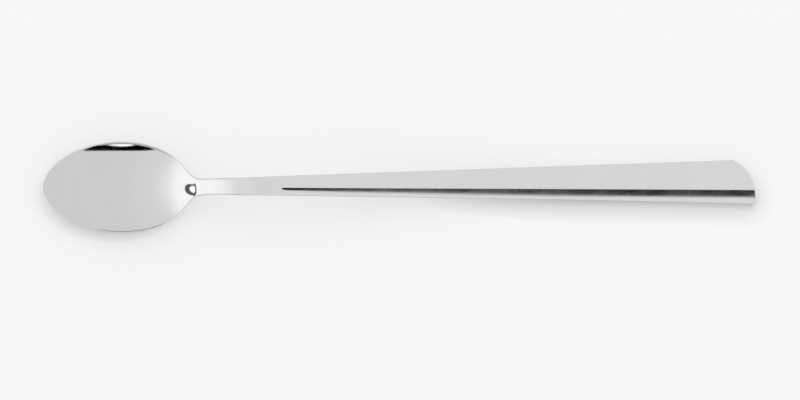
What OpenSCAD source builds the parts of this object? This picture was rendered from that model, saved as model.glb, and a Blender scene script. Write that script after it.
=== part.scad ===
// Iced tea spoon of polished steel: a bowl with a short neck, and a handle that plugs into it.
//
// X runs along the spoon, from the bowl's tip to the end of the handle. Y runs across it and Z is up.
// The spoon lies as on a table: the belly of the bowl and the end of the handle touch Z = 0.
// A "station" is a distance from the bowl's tip, measured along X.

/* [Length] */
// Length of the spoon from the bowl's tip to the end of the handle
spoon_l = 195; // [165:1:225]
// Station of the neck's crest, where bowl and handle are joined
crest_station = 60.5; // [57:0.5:65]
// Station from which the handle's underside lies flat on the table
pad_station = 170; // [140:1:185]

/* [Bowl] */
// Width of the bowl across its outer rim
bowl_w = 25.1; // [22:0.1:30]
// Station of the bowl's widest place
belly_station = 21.7; // [19:0.1:24]
// Length of the hollow behind the widest place
hollow_back_l = 20.5; // [18:0.1:22]
// Shift of the hollow's back end towards the handle's lower side
hollow_lean = 0.8; // [0:0.05:1.2]
// Height of the rim above the table at the tip
tip_h = 5.3; // [4.5:0.1:7]
// Rise of the rim from the tip to the widest place
rim_rise = 1.5; // [0.5:0.1:2.5]
// Wall of the bowl at its deepest place
bowl_wall = 1.2; // [0.8:0.05:2]
// Height of the rim's outer edge
rim_edge_h = 0.9; // [0.6:0.05:1.2]
// Width of the level land round the hollow
rim_land = 0.35; // [0.25:0.05:0.6]
// Radius of the rim's outer edge
rim_edge_r = 0.22; // [0.1:0.02:0.28]

/* [Neck] */
// Station where the shoulders turn from the bowl into the neck
shoulder_station = 39.2; // [37:0.1:41]
// Half width of the bowl at that station
shoulder_half_w = 5.0; // [4:0.1:6]
// Station where the neck's upper side begins
neck_upper_station = 44.7; // [43:0.1:47]
// Station where the neck's lower side begins
neck_lower_station = 49; // [47:0.1:51]
// Reach of the neck above the bowl's axis
neck_upper_w = 2.42; // [2:0.02:3]
// Reach of the neck below the bowl's axis
neck_lower_w = 2.04; // [1.8:0.02:3]
// Height of the neck's top at its crest
crest_h = 15.8; // [12:0.1:18]
// Thickness of the neck at its crest and of the handle
handle_t = 4.2; // [3.2:0.1:5]

/* [Handle] */
// Reach of the handle above the bowl's axis at its end
end_upper_w = 7.52; // [6:0.05:9]
// Reach of the handle below the bowl's axis at its end
end_lower_w = 4.5; // [3.5:0.05:6]
// Length of the round cut, from the handle's upper corner to its end
cut_l = 6.32; // [4:0.01:9]
// Distance of the round cut's centre below the bowl's axis
end_drop = 2.6; // [1.5:0.1:3]
// Station where the ridge along the handle starts
ridge_station = 60.5; // [57:0.5:68]
// Height of the ridge line above the bowl's axis, seen from above, at its start
ridge_start_y = 0.35; // [0:0.05:0.6]
// Distance of the ridge line below the bowl's axis at the handle's end
ridge_end_y = 0; // [0:0.05:0.5]
// Thickness of the handle's thin lower edge at its end
lower_edge_t = 1.57; // [0.9:0.01:1.8]
// Rise of the handle's end off the table
end_rise = 0.3; // [0.1:0.05:0.6]
// Radius of the handle's long edges
handle_edge_r = 0.22; // [0.1:0.02:0.4]

/* [Joint in the neck] */
// Diameter of the spigot on the handle
spigot_d = 1.8; // [1.2:0.1:2]
// Length of the spigot
spigot_l = 5; // [3:0.5:6]
// Clearance between the spigot and its socket, all round and at its end
spigot_gap = 0.05; // [0.02:0.01:0.1]

/* [Hidden] */
$fn = 48;

// How the parts are cut into flat faces
front_ribs = 16;
back_ribs = 26;
hollow_rows = 9;
under_rows = 8;
handle_ribs = 44;
end_ribs = 8;
edge_rows = 3;
land_rows = 3;
flank_rows = 3;
// Halvings that find a curve's place at a station
curve_turns = 26;

// Roundness of the bowl's outline before its widest place and at its back end: 0.5 is an ellipse
front_round_share = 0.555;
back_round_share = 0.52;
// How late the hollow changes its roundness and leans
lean_power = 4;
// Where each slanting rib of the bowl's front meets the axis, as a share of the front's length
fan_share = 0.6;
// Pulls of the shoulder's curves, as shares of their lengths
belly_pull_share = 0.485;
shoulder_pull_share = 0.19;
shoulder_upper_exit_share = 0.28;
shoulder_lower_exit_share = 0.26;
neck_pull_share = 0.5;
// Steepness of the shoulder, seen from above, as breadth per length
shoulder_steep_share = 1.3;
// Pull of the handle's lower edge towards the bowl's axis, as shares of its slope and length
lower_bow_share = 0.7;
lower_pull_share = 0.33;
// Softness of the hollow's edge, as a share of its depth, along the rim and at the neck
rim_soft_share = 0.01;
neck_soft_share = 0.06;
// Station shares of the hollow's back length between which the rim's land fades into the neck
fade_start_share = 0.72;
fade_end_share = 1.1;
// Where the neck starts to rise, as a share of the way from the widest place to the crest
rise_start_share = 0.3;
// Where the neck rises at its steepest, as a share of the same way
rise_steep_share = 0.6;
// How evenly the neck rounds over from there to its crest
crest_round_power = 1.3;
// Edge height of the neck at its crest, as a share of its thickness
neck_edge_share = 0.45;
// Fullness of the underside's blend between bowl and neck
blend_power = 3;
// How fast the handle falls from the crest to the table
fall_power = 3;
// Round of the ridge, as a share of the flank's width
ridge_round_share = 0.2;
// Width of the bevel where it starts and where it ends, as shares of the flank's width at its end
bevel_start_share = 0.11;
bevel_end_share = 0.467;
// How fast the bevel widens
bevel_power = 3;
// Easing of the bevel's slope from the ridge to its far side
bevel_ease_share = 0.1;
// Length over which the ridge grows out of the neck, as a share of the handle
ridge_growth_share = 0.045;
// Part of the hollow, as a share of its depth, in which the belly can touch the table
belly_share = 0.5;
// Length of the handle's end that rises off the table, as a share of the round cut's radius
end_turn_share = 1.3;
// Closeness of the handle's ribs near the neck: 1 spaces them evenly
rib_even_share = 0.4;
// Where the neck's round underside has become the handle's flat one, as a share of the handle
flat_under_share = 0.2;

bowl_half = bowl_w / 2;
half_l = spoon_l / 2;
// Radius and centre of the round cut, which ends at the handle's upper corner
end_r = (pow(end_upper_w + end_drop, 2) + cut_l * cut_l) / (2 * cut_l);
end_centre = spoon_l - end_r;
corner_station = spoon_l - cut_l;
handle_l = spoon_l - crest_station;
upper_slope_share = (end_upper_w - neck_upper_w) / (corner_station - neck_upper_station);
lower_slope_share = (end_lower_w - neck_lower_w) / (spoon_l - neck_lower_station);
rise_station = belly_station + rise_start_share * (crest_station - belly_station);
steep_station = belly_station + rise_steep_share * (crest_station - belly_station);
rise_l = steep_station - rise_station;
round_l = crest_station - steep_station;
rim_slope_share = rim_rise / belly_station;
// Steepest slope of the neck, at which its two curves reach the height of the crest
rise_slope_share = (crest_h - rim_h(rise_station) - rim_slope_share * rise_l / 2)
    / (rise_l / 2 + round_l * crest_round_power / (crest_round_power + 1));
fade_start = belly_station + fade_start_share * hollow_back_l;
fade_end = belly_station + fade_end_share * hollow_back_l;
flat_under_station = crest_station + flat_under_share * handle_l;
full_ridge_station = ridge_station + ridge_growth_share * handle_l;
crest_under_h = crest_h - handle_t;
fall_l = pad_station - crest_station;
// Station where the end starts to rise, and the ribs to turn into the round cut
end_turn_l = end_turn_share * end_r;
end_start = spoon_l - end_turn_l;

function clamp01(t) = min(1, max(0, t));
function ease(t) = let (c = clamp01(t)) c * c * c * (10 - 15 * c + 6 * c * c);
function mix(a, b, t) = a + (b - a) * t;

// A cubic curve through four control points, and its height at a station
function curve(p, t) =
    pow(1 - t, 3) * p[0] + 3 * pow(1 - t, 2) * t * p[1] + 3 * (1 - t) * t * t * p[2] + t * t * t * p[3];
function curve_t(p, x, low = 0, high = 1, turns = curve_turns) =
    let (middle = (low + high) / 2)
    turns == 0 ? middle
    : curve(p, middle)[0] < x ? curve_t(p, x, middle, high, turns - 1)
    : curve_t(p, x, low, middle, turns - 1);
function curve_y(p, x) = curve(p, curve_t(p, x))[1];

// The outline seen from above: reach above and below the axis at a station behind the widest place
function shoulder_curve(neck_station, neck_w, exit_share, neck_slope) =
    let (back = shoulder_station - belly_station)
    let (front = neck_station - shoulder_station)
    let (pull = shoulder_pull_share * back)
    let (exit = exit_share * front)
    [[[belly_station, bowl_half],
      [belly_station + belly_pull_share * back, bowl_half],
      [shoulder_station - pull, shoulder_half_w + shoulder_steep_share * pull],
      [shoulder_station, shoulder_half_w]],
     [[shoulder_station, shoulder_half_w],
      [shoulder_station + exit, shoulder_half_w - shoulder_steep_share * exit],
      [neck_station - neck_pull_share * front, neck_w - neck_slope * neck_pull_share * front],
      [neck_station, neck_w]]];

upper_shoulder =
    shoulder_curve(neck_upper_station, neck_upper_w, shoulder_upper_exit_share, upper_slope_share);
lower_shoulder =
    shoulder_curve(neck_lower_station, neck_lower_w, shoulder_lower_exit_share,
                   lower_slope_share * lower_bow_share);
lower_edge_l = spoon_l - neck_lower_station;
lower_edge =
    [[neck_lower_station, neck_lower_w],
     [neck_lower_station + lower_pull_share * lower_edge_l,
      neck_lower_w + lower_pull_share * lower_edge_l * lower_slope_share * lower_bow_share],
     [spoon_l - lower_pull_share * lower_edge_l,
      end_lower_w - lower_pull_share * lower_edge_l * lower_slope_share / lower_bow_share],
     [spoon_l, end_lower_w]];

function upper_w(x) =
    x < shoulder_station ? curve_y(upper_shoulder[0], x)
    : x < neck_upper_station ? curve_y(upper_shoulder[1], x)
    : neck_upper_w + upper_slope_share * (x - neck_upper_station);
function lower_w(x) =
    x < shoulder_station ? curve_y(lower_shoulder[0], x)
    : x < neck_lower_station ? curve_y(lower_shoulder[1], x)
    : curve_y(lower_edge, x);

// Height of the top line: the rim, the rise of the neck, the fall of the handle and the rise of its end
function fall(x) =
    let (t = clamp01((x - crest_station) / fall_l))
    crest_under_h * pow(1 - t, fall_power) * (1 + fall_power * t);
function turn_up(x) = end_rise * pow(max(0, x - end_start) / end_turn_l, 2);
function rim_h(x) = tip_h + rim_slope_share * x;
function rise(x) =
    let (s = (x - rise_station) / rise_l)
    rim_h(x) + (rise_slope_share - rim_slope_share) * rise_l * s * s * s * (1 - s / 2);
function round_over(x) =
    let (s = (crest_station - x) / round_l)
    let (power = crest_round_power + 1)
    crest_h - rise_slope_share * round_l * (s - (1 - pow(1 - s, power)) / power);
function top_line(x) =
    x < rise_station ? rim_h(x)
    : x < steep_station ? rise(x)
    : x < crest_station ? round_over(x)
    : fall(x) + turn_up(x) + handle_t;

// How far a point lies inside an egg round the bowl's middle: 1 in the middle, 0 on its edge
function egg(x, y, front_l, back_l, half_w) =
    let (front = x < belly_station)
    let (v = (x - belly_station) / (front ? front_l : back_l))
    let (point = front ? 0 : pow(min(1, v), lean_power))
    let (round_share = mix(front_round_share, back_round_share, point))
    let (inside = 1 - v * v)
    let (across = (y + hollow_lean * point) / half_w)
    inside - across * across * pow(max(inside, rim_soft_share), 1 - 2 * round_share);

// Softness of the hollow's edge at a station
function soft(x) = mix(rim_soft_share, neck_soft_share, ease((x - fade_start) / (fade_end - fade_start)));

// Depth of the outside below the rim's edge, such that the belly just touches the table
belly_stations = [for (k = [0 : front_ribs]) fan_x(k), for (k = [1 : back_ribs]) back_x(k)];
outside_depth = min([for (x = belly_stations)
    let (inside = egg(x, 0, belly_station, hollow_back_l + rim_land, bowl_half))
    if (inside > belly_share) (rim_h(x) - rim_edge_h) / inside]);
hollow_depth = outside_depth + rim_edge_h - bowl_wall;

function hollow(x, y) =
    let (inside = egg(x, y, belly_station - rim_land, hollow_back_l, bowl_half - rim_land))
    let (edge = soft(x))
    hollow_depth * (inside + sqrt(inside * inside + edge * edge)) / 2;

// The flank below the ridge line, as a fall in height
function ridge_y(x) =
    mix(ridge_start_y, -ridge_end_y, (x - ridge_station) / (spoon_l - ridge_station));
function flank_w(x) = ridge_y(x) + lower_w(x);
end_flank = ridge_y(spoon_l) + end_lower_w;
// Share of the flank that the bevel takes
function bevel_w(x) =
    let (left = 1 - clamp01((x - ridge_station) / (spoon_l - ridge_station)))
    end_flank * mix(bevel_end_share, bevel_start_share, pow(left, bevel_power)) / flank_w(x);
// Height per width of a flank as wide and steep as one, down to a place given as a share of its width
function flank_fall(d, round_part, bevel_part) =
    let (rest = 1 - round_part - bevel_part)
    d <= 0 ? 0
    : d < round_part ? d * d / round_part * (1 - d / round_part / 3)
    : d < round_part + bevel_part
    ? let (q = d - round_part)
      round_part * 2 / 3 + q - bevel_ease_share * q * pow(q / bevel_part, 2) / 3
    : let (q = d - round_part - bevel_part)
      round_part * 2 / 3 + bevel_part * (1 - bevel_ease_share / 3)
      + (1 - bevel_ease_share) * (q - q * q / (2 * rest));
// Steepness that leaves the lower edge its thickness at the handle's end
end_fall = flank_fall(1, ridge_round_share, bevel_end_share);
flank_steep = (handle_t - lower_edge_t) / (end_flank * end_fall);
function step(x, y) =
    let (width = flank_w(x))
    let (growth = ease((x - ridge_station) / (full_ridge_station - ridge_station)))
    growth * flank_steep * width * flank_fall((ridge_y(x) - y) / width, ridge_round_share, bevel_w(x));

function top_z(x, y) = top_line(x) - (x < crest_station ? hollow(x, y) : 0) - step(x, y);

// Height of the side edge and fullness of the underside between its edges
function edge_h(x) =
    x < crest_station
    ? mix(rim_edge_h, neck_edge_share * handle_t, ease((x - rise_station) / (crest_station - rise_station)))
    : mix(neck_edge_share * handle_t, handle_t,
          ease((x - crest_station) / (flat_under_station - crest_station)));
function under_z(x, y, up, low) =
    let (inside = x < crest_station ? max(0, egg(x, y, belly_station, hollow_back_l + rim_land, bowl_half)) : 0)
    let (across = (2 * y - up + low) / (up + low))
    let (full = ease((x - rise_station) / (crest_station - rise_station)) * (handle_t - edge_h(x))
                * max(0, 1 - across * across))
    top_line(x) - edge_h(x)
    - pow(pow(outside_depth * inside, blend_power) + pow(full, blend_power), 1 / blend_power);

function edge_r(x) = mix(rim_edge_r, handle_edge_r, ease((x - fade_start) / (crest_station - fade_start)));

// Stations of the ribs: fan_x is for the slanting ribs of the front, back_x for the straight ones behind
function fan_x(k) = belly_station * mix(1 - fan_share, 1, k / front_ribs);
function back_x(k) = mix(belly_station, crest_station, k / back_ribs);

// A rib of the bowl's front runs from the axis to the outline. Each is [axis point, inner line, outline]
function front_rib(k) =
    let (a = 90 * k / front_ribs)
    let (land_front = belly_station - rim_land)
    [[fan_x(k), 0],
     [belly_station - land_front * cos(a), (bowl_half - rim_land) * pow(sin(a), 2 * front_round_share)],
     [belly_station * (1 - cos(a)), bowl_half * pow(sin(a), 2 * front_round_share)]];

// Behind the widest place the inner line follows the hollow's edge, then fades into the neck's width
function hollow_reach(x, side) =
    let (v = clamp01((x - belly_station) / hollow_back_l))
    let (point = pow(v, lean_power))
    let (half = (bowl_half - rim_land) * pow(1 - v * v, mix(front_round_share, back_round_share, point)))
    max(0, half - side * hollow_lean * point);
function inner_w(x, w, side) =
    let (land = rim_land + edge_r(x))
    let (limit = w - land)
    mix(min(hollow_reach(x, side), limit), limit, ease((x - fade_start) / (fade_end - fade_start)));
function back_rib(k, side) =
    let (x = back_x(k))
    let (up = upper_w(x))
    let (low = lower_w(x))
    let (w = side > 0 ? up : low)
    [[x, k == back_ribs ? (up - low) / 2 : 0], [x, side * inner_w(x, w, side)], [x, side * w]];

// All ribs from the lower side of the crest round the tip to its upper side
ribs_half = front_ribs + back_ribs;
function rib(i) =
    let (k = abs(i))
    let (side = i < 0 ? -1 : 1)
    k <= front_ribs
    ? [for (p = front_rib(k)) [p[0], side * p[1]]]
    : back_rib(k - front_ribs, side);

function rib_reach(i) =
    let (k = abs(i))
    k <= front_ribs
    ? let (w = front_rib(k)[2][1]) [w, w]
    : let (x = back_x(k - front_ribs)) [upper_w(x), lower_w(x)];

// Points of one rib: over the top from the axis to the rim, round the edge and back below
function inset(p, towards, d) =
    let (v = towards - p)
    let (l = norm(v))
    l > d ? p + v * d / l : towards;
function rib_points(i) =
    let (r = rib(i))
    let (reach = rib_reach(i))
    let (axis = r[0])
    let (inner = r[1])
    let (rim = r[2])
    let (radius = edge_r(rim[0]))
    [for (j = [0 : hollow_rows])
         let (p = mix(axis, inner, j / hollow_rows))
         [p[0], p[1], top_z(p[0], p[1])],
     for (j = [0 : edge_rows - 1])
         let (a = 90 * j / (edge_rows - 1))
         let (p = inset(rim, axis, radius * (1 - sin(a))))
         [p[0], p[1], top_line(p[0]) - radius * (1 - cos(a))],
     for (j = [0 : edge_rows - 1])
         let (a = 90 * j / (edge_rows - 1))
         let (p = inset(rim, axis, radius * (1 - cos(a))))
         let (q = inset(rim, axis, radius))
         [p[0], p[1], under_z(q[0], q[1], reach[0], reach[1]) + radius * (1 - sin(a))],
     for (j = [1 : under_rows])
         let (p = mix(inset(rim, axis, radius), axis, 1 - cos(90 * j / under_rows)))
         [p[0], p[1], under_z(p[0], p[1], reach[0], reach[1])]];

rib_count = hollow_rows + 1 + 2 * edge_rows + under_rows;
inner_count = rib_count - 2;
axis_base = (2 * ribs_half + 1) * inner_count;
function rib_index(i, j) =
    j == 0 ? axis_base + abs(i)
    : j == rib_count - 1 ? axis_base + ribs_half + 1 + abs(i)
    : (i + ribs_half) * inner_count + j - 1;

// Two triangles between two ribs, split so that none lies flat along the axis at the tip
function rib_faces(i, j) =
    let (a = rib_index(i, j))
    let (b = rib_index(i + 1, j))
    let (c = rib_index(i + 1, j + 1))
    let (d = rib_index(i, j + 1))
    (i < 0) == (j < rib_count / 2) ? [[a, d, b], [b, d, c]] : [[a, c, b], [a, d, c]];

module spoon_frame() {
    translate([-half_l, 0, 0]) children();
}

module bowl_shell() {
    ribs = [for (i = [-ribs_half : ribs_half]) rib_points(i)];
    points = [
        for (r = ribs, j = [1 : rib_count - 2]) r[j],
        for (k = [0 : ribs_half]) ribs[ribs_half + k][0],
        for (k = [0 : ribs_half]) ribs[ribs_half + k][rib_count - 1]];
    sides = [
        for (i = [-ribs_half : ribs_half - 1], j = [0 : rib_count - 2])
            each rib_faces(i, j)];
    cap = [
        rib_index(ribs_half, rib_count - 1),
        for (j = [rib_count - 2 : -1 : 1]) rib_index(-ribs_half, j),
        for (j = [0 : rib_count - 2]) rib_index(ribs_half, j)];
    polyhedron(points, concat(sides, [cap]));
}

// The joint's axis runs along X through the middle of the neck's crest
module at_joint() {
    translate([crest_station, (upper_w(crest_station) - lower_w(crest_station)) / 2, crest_h - handle_t / 2])
        rotate([0, -90, 0])
            children();
}

module bowl() {
    color("gainsboro")
        spoon_frame()
            difference() {
                bowl_shell();
                at_joint()
                    translate([0, 0, -spigot_gap])
                        cylinder(d = spigot_d + 2 * spigot_gap, h = spigot_l + 2 * spigot_gap);
            }
}

// Rows across the handle, from the upper edge to the lower one, as distances from the axis
function handle_rows(x) =
    let (up = upper_w(x))
    let (low = lower_w(x))
    let (r = handle_edge_r)
    let (ridge = ridge_y(x))
    let (flank = flank_w(x))
    let (bevel_low = ridge_round_share + bevel_w(x))
    [for (j = [0 : edge_rows - 1]) up - r * (1 - cos(90 * j / (edge_rows - 1))),
     for (j = [1 : land_rows - 1]) mix(up - r, ridge, j / land_rows),
     ridge,
     ridge - flank * ridge_round_share / 2,
     ridge - flank * ridge_round_share,
     for (j = [0 : flank_rows - 1]) mix(ridge - flank * bevel_low, r - low, j / flank_rows),
     for (j = [edge_rows - 1 : -1 : 0]) r * (1 - cos(90 * j / (edge_rows - 1))) - low];

row_count = 2 * edge_rows + land_rows + flank_rows + 2;

// Station of the round cut at a distance from the axis
function cut_station(y) = end_centre + sqrt(max(0, end_r * end_r - pow(y + end_drop, 2)));

// How far a row lies in from the edge's round, and how far the round has then fallen
function edge_inset(j) =
    j < edge_rows ? handle_edge_r * (1 - cos(90 * j / (edge_rows - 1)))
    : j >= row_count - edge_rows ? handle_edge_r * (1 - cos(90 * (row_count - 1 - j) / (edge_rows - 1)))
    : handle_edge_r;
function round_fall(d) =
    handle_edge_r - sqrt(max(0, handle_edge_r * handle_edge_r - pow(handle_edge_r - d, 2)));

// Ribs across the handle: straight ones first, then those that turn into the round cut
function handle_station(k) =
    let (t = k / handle_ribs)
    mix(crest_station, end_start, mix(t * t, t, clamp01(t + rib_even_share)));
rib_total = handle_ribs + end_ribs + edge_rows - 1;
function handle_point(k, j, below) =
    let (straight = k <= handle_ribs)
    let (round_rib = k - handle_ribs - end_ribs)
    let (t = min(1, (k - handle_ribs) / end_ribs))
    let (cut_inset = straight ? handle_edge_r
         : round_rib < 0 ? handle_edge_r
         : handle_edge_r * (1 - sin(90 * round_rib / (edge_rows - 1))))
    let (guess = straight ? handle_station(k) : mix(end_start, corner_station, t))
    let (y0 = handle_rows(guess)[j])
    let (x = straight ? guess : mix(end_start, cut_station(y0) - cut_inset, t))
    let (y = handle_rows(x)[j])
    let (d = min(edge_inset(j), cut_inset))
    let (top = top_z(x, y))
    let (under = under_z(x, y, upper_w(x), lower_w(x)))
    let (r = round_fall(d))
    below ? [x, y, under + r] : [x, y, top - r];

function handle_index(k, j, below) = (k * row_count + j) * 2 + (below ? 1 : 0);

module handle_bar() {
    points = [
        for (k = [0 : rib_total], j = [0 : row_count - 1])
            each [handle_point(k, j, false), handle_point(k, j, true)]];
    faces = [
        for (k = [0 : rib_total - 1]) each [
            for (j = [0 : row_count - 2]) each [
                [handle_index(k, j, false), handle_index(k + 1, j, false), handle_index(k + 1, j + 1, false)],
                [handle_index(k, j, false), handle_index(k + 1, j + 1, false), handle_index(k, j + 1, false)],
                [handle_index(k, j, true), handle_index(k + 1, j + 1, true), handle_index(k + 1, j, true)],
                [handle_index(k, j, true), handle_index(k, j + 1, true), handle_index(k + 1, j + 1, true)]],
            [handle_index(k, 0, false), handle_index(k, 0, true), handle_index(k + 1, 0, true)],
            [handle_index(k, 0, false), handle_index(k + 1, 0, true), handle_index(k + 1, 0, false)],
            [handle_index(k, row_count - 1, false), handle_index(k + 1, row_count - 1, true),
             handle_index(k, row_count - 1, true)],
            [handle_index(k, row_count - 1, false), handle_index(k + 1, row_count - 1, false),
             handle_index(k + 1, row_count - 1, true)]],
        [for (j = [0 : row_count - 1]) handle_index(0, j, false),
         for (j = [row_count - 1 : -1 : 0]) handle_index(0, j, true)],
        for (j = [0 : row_count - 2])
            each [[handle_index(rib_total, j, false), handle_index(rib_total, j, true),
                   handle_index(rib_total, j + 1, true)],
                  [handle_index(rib_total, j, false), handle_index(rib_total, j + 1, true),
                   handle_index(rib_total, j + 1, false)]]];
    polyhedron(points, faces);
}

module handle() {
    color("silver")
        spoon_frame()
            union() {
                handle_bar();
                at_joint()
                    cylinder(d = spigot_d, h = spigot_l);
            }
}

bowl();
handle();
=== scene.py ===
"""Iced tea spoon of polished steel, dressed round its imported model.

All lengths are in metres. X runs along the spoon from the bowl to the handle's end, Y across it and
Z up. A "station" is a distance from the bowl's tip, measured along X. "Above" and "below" the axis
are the sides at +Y and -Y, and "upper side" and "underside" are those at +Z and -Z.
"""

import math

import bpy
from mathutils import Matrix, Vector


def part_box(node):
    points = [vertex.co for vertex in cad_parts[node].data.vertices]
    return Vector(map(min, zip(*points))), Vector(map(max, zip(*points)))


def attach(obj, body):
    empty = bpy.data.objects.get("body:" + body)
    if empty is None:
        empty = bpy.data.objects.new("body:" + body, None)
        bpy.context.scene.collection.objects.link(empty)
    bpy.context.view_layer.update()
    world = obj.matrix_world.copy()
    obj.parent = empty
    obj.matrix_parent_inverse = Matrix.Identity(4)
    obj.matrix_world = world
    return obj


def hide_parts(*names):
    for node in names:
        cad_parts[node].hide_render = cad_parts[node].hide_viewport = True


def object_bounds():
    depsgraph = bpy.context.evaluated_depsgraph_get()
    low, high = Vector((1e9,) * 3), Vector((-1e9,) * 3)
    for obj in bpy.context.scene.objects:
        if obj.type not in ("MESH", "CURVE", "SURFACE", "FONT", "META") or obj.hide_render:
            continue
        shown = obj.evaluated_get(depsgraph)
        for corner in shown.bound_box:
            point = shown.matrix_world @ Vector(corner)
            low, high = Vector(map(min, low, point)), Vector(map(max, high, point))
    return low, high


bl_info = {
    "name": "Iced tea spoon",
    "version": (1, 0, 0),
    "blender": (4, 5, 0),
    "location": "View3D > Sidebar > Spoon",
    "description": "Models a long-handled spoon of polished steel with its soft studio",
    "category": "Object",
}

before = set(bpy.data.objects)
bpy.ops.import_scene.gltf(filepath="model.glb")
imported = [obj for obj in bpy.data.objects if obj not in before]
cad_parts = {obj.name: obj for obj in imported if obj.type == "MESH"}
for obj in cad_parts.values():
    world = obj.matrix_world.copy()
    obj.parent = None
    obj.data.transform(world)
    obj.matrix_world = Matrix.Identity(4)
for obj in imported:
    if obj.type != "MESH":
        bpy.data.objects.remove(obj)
CAD_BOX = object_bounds()
CAD_LOW, CAD_HIGH = CAD_BOX


class SpoonSizes(bpy.types.PropertyGroup):
    """Sizes of the spoon."""

    spoon_l: bpy.props.FloatProperty(
        name="Length",
        description="Length of the spoon from the bowl's tip to the end of the handle",
        default=CAD_HIGH[0] - CAD_LOW[0],
        unit="LENGTH",
    )
    crest_station: bpy.props.FloatProperty(
        name="Crest station",
        description="Station of the neck's crest, where bowl and handle are joined",
        default=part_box("bowl")[1][0] - CAD_LOW[0],
        unit="LENGTH",
    )
    pad_station: bpy.props.FloatProperty(
        name="Pad station",
        description="Station from which the handle's underside lies flat on the table",
        default=0.17,
        unit="LENGTH",
    )
    bowl_w: bpy.props.FloatProperty(
        name="Bowl width",
        description="Width of the bowl across its outer rim",
        default=CAD_HIGH[1] - CAD_LOW[1],
        unit="LENGTH",
    )
    belly_station: bpy.props.FloatProperty(
        name="Belly station",
        description="Station of the bowl's widest place",
        default=0.0217,
        unit="LENGTH",
    )
    hollow_back_l: bpy.props.FloatProperty(
        name="Hollow behind the belly",
        description="Length of the hollow behind the bowl's widest place",
        default=0.0205,
        unit="LENGTH",
    )
    hollow_lean: bpy.props.FloatProperty(
        name="Hollow's lean",
        description="Shift of the hollow's back end towards the handle's lower side",
        default=0.0008,
        unit="LENGTH",
    )
    tip_h: bpy.props.FloatProperty(
        name="Tip height",
        description="Height of the rim above the table at the tip",
        default=0.0053,
        unit="LENGTH",
    )
    rim_rise: bpy.props.FloatProperty(
        name="Rim rise",
        description="Rise of the rim from the tip to the bowl's widest place",
        default=0.0015,
        unit="LENGTH",
    )
    bowl_wall: bpy.props.FloatProperty(
        name="Bowl wall",
        description="Wall of the bowl at its deepest place",
        default=0.0012,
        unit="LENGTH",
    )
    rim_edge_h: bpy.props.FloatProperty(
        name="Rim edge height",
        description="Height of the rim's outer edge",
        default=0.0009,
        unit="LENGTH",
    )
    rim_land: bpy.props.FloatProperty(
        name="Rim land",
        description="Width of the level land round the hollow",
        default=0.00035,
        unit="LENGTH",
    )
    rim_lip: bpy.props.FloatProperty(
        name="Rim lip",
        description="Height of the steep lip at the hollow's edge, behind the bowl's front",
        default=0.00021,
        unit="LENGTH",
        precision=6,
    )
    rim_edge_r: bpy.props.FloatProperty(
        name="Rim edge radius",
        description="Radius of the rim's outer edge",
        default=0.00022,
        unit="LENGTH",
    )
    shoulder_station: bpy.props.FloatProperty(
        name="Shoulder station",
        description="Station where the shoulders turn from the bowl into the neck",
        default=0.0392,
        unit="LENGTH",
    )
    shoulder_half_w: bpy.props.FloatProperty(
        name="Shoulder half width",
        description="Half width of the bowl where the shoulders turn",
        default=0.005,
        unit="LENGTH",
    )
    neck_upper_station: bpy.props.FloatProperty(
        name="Neck's upper station",
        description="Station where the neck's upper side begins",
        default=0.0447,
        unit="LENGTH",
    )
    neck_lower_station: bpy.props.FloatProperty(
        name="Neck's lower station",
        description="Station where the neck's lower side begins",
        default=0.049,
        unit="LENGTH",
    )
    neck_upper_w: bpy.props.FloatProperty(
        name="Neck's upper reach",
        description="Reach of the neck above the bowl's axis",
        default=0.00242,
        unit="LENGTH",
    )
    neck_lower_w: bpy.props.FloatProperty(
        name="Neck's lower reach",
        description="Reach of the neck below the bowl's axis",
        default=0.00204,
        unit="LENGTH",
    )
    neck_round: bpy.props.FloatProperty(
        name="Neck round",
        description="How much rounder the edges of the neck are than those of the handle",
        default=0.0004,
        unit="LENGTH",
    )
    crest_h: bpy.props.FloatProperty(
        name="Crest height",
        description="Height of the neck's top at its crest",
        default=CAD_HIGH[2] - CAD_LOW[2],
        unit="LENGTH",
    )
    handle_t: bpy.props.FloatProperty(
        name="Handle thickness",
        description="Thickness of the neck at its crest and of the handle",
        default=0.0042,
        unit="LENGTH",
    )
    end_upper_w: bpy.props.FloatProperty(
        name="End's upper reach",
        description="Reach of the handle above the bowl's axis at its end",
        default=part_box("handle")[1][1],
        unit="LENGTH",
    )
    end_lower_w: bpy.props.FloatProperty(
        name="End's lower reach",
        description="Reach of the handle below the bowl's axis at its end",
        default=-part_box("handle")[0][1],
        unit="LENGTH",
    )
    cut_l: bpy.props.FloatProperty(
        name="Round cut",
        description="Length of the round cut, from the handle's upper corner to its end",
        default=0.00632,
        unit="LENGTH",
    )
    end_drop: bpy.props.FloatProperty(
        name="Round cut's drop",
        description="Distance of the round cut's centre below the bowl's axis",
        default=0.0026,
        unit="LENGTH",
    )
    ridge_station: bpy.props.FloatProperty(
        name="Ridge station",
        description="Station where the ridge along the handle starts",
        default=0.0605,
        unit="LENGTH",
    )
    ridge_start_y: bpy.props.FloatProperty(
        name="Ridge start",
        description="Distance of the ridge line above the bowl's axis at its start",
        default=0.00035,
        unit="LENGTH",
    )
    ridge_end_y: bpy.props.FloatProperty(
        name="Ridge end",
        description="Distance of the ridge line below the bowl's axis at the handle's end",
        default=0.0,
        unit="LENGTH",
    )
    lower_edge_t: bpy.props.FloatProperty(
        name="Lower edge",
        description="Thickness of the handle's thin lower edge at its end",
        default=0.00157,
        unit="LENGTH",
    )
    end_rise: bpy.props.FloatProperty(
        name="End rise",
        description="Rise of the handle's end off the table",
        default=0.0003,
        unit="LENGTH",
    )
    handle_edge_r: bpy.props.FloatProperty(
        name="Handle edge radius",
        description="Radius of the handle's long edges",
        default=0.00022,
        unit="LENGTH",
    )


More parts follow.
